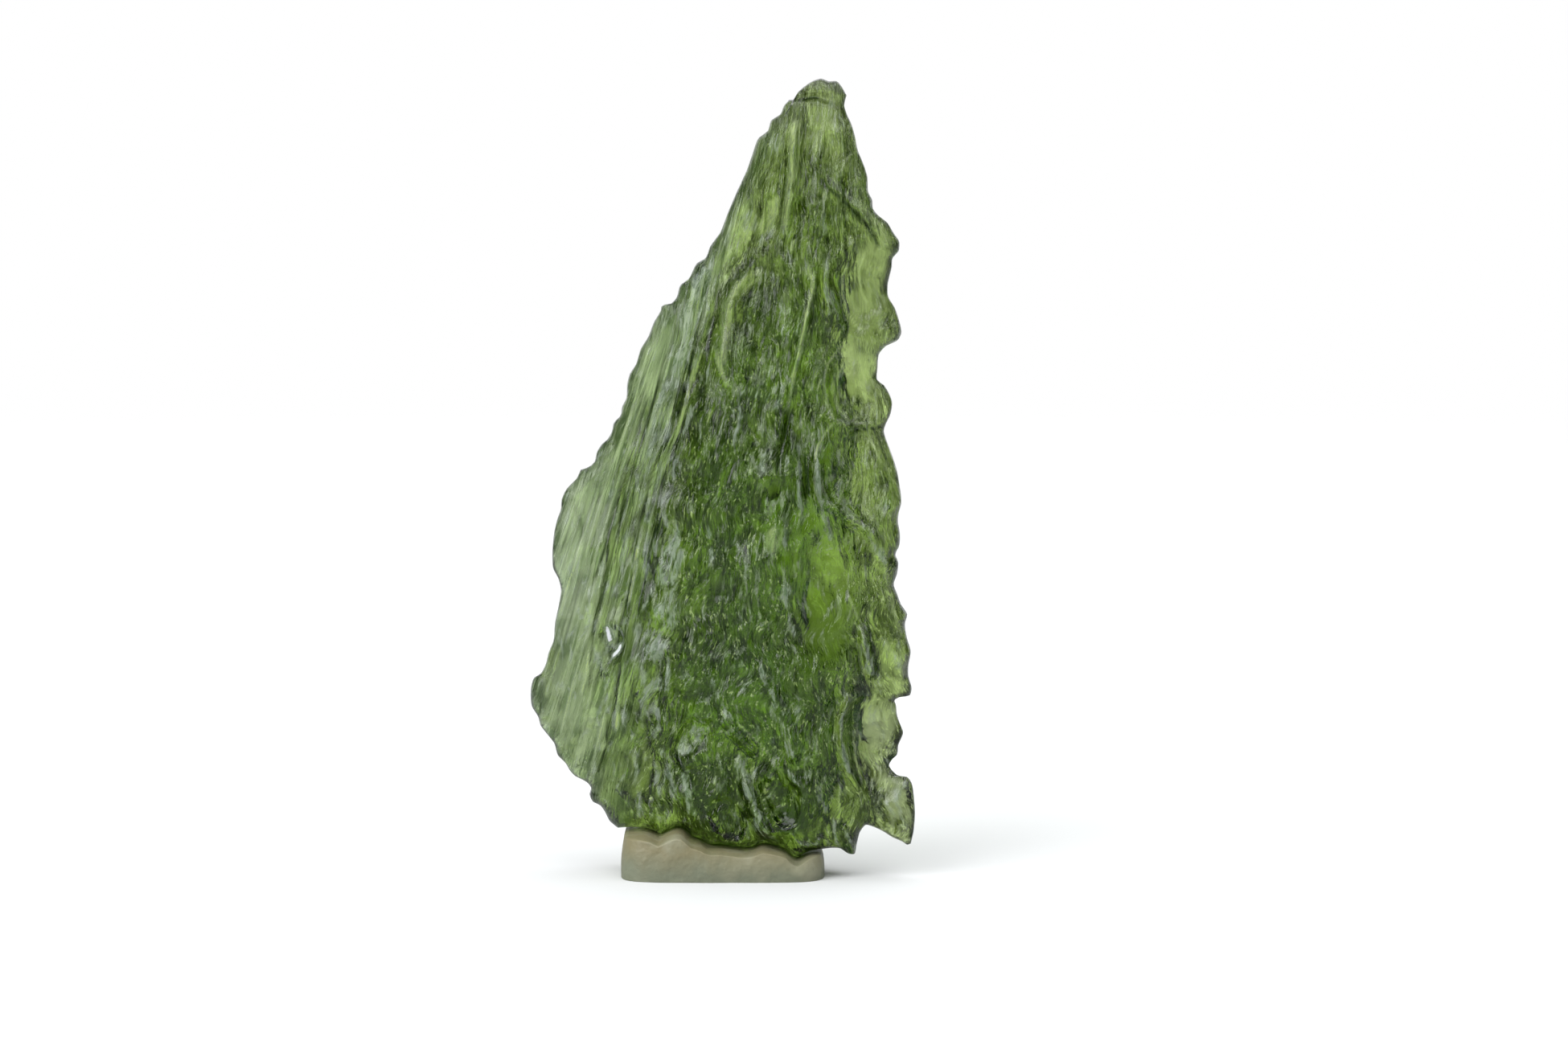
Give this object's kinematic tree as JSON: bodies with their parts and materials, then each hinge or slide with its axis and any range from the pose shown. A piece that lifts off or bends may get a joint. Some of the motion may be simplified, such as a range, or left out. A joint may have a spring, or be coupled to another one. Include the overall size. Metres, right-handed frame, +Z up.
{
  "type": "moldavite specimen",
  "caption": "Thin, fan-shaped piece of green natural glass with a fluted, etched surface and a chipped rim, standing upright on a small pad of pale putty.",
  "frame": {"origin": "middle of the flat underside of the putty pad", "axes": "+Z up along the stone towards its tip, broad front face towards -Y, +X to the right seen from the front"},
  "size_m": [0.0199, 0.0077, 0.041],
  "materials": {
    "green_glass": "see-through bottle-green natural glass, pale where thin and dark where thick, with a satin, finely fluted and pitted surface",
    "pale_putty": "pale grey-beige putty, faintly mottled and slightly waxy"
  },
  "bodies": {
    "root": {"moldavite": "green_glass", "putty_pad": "pale_putty"}
  },
  "joints": []
}
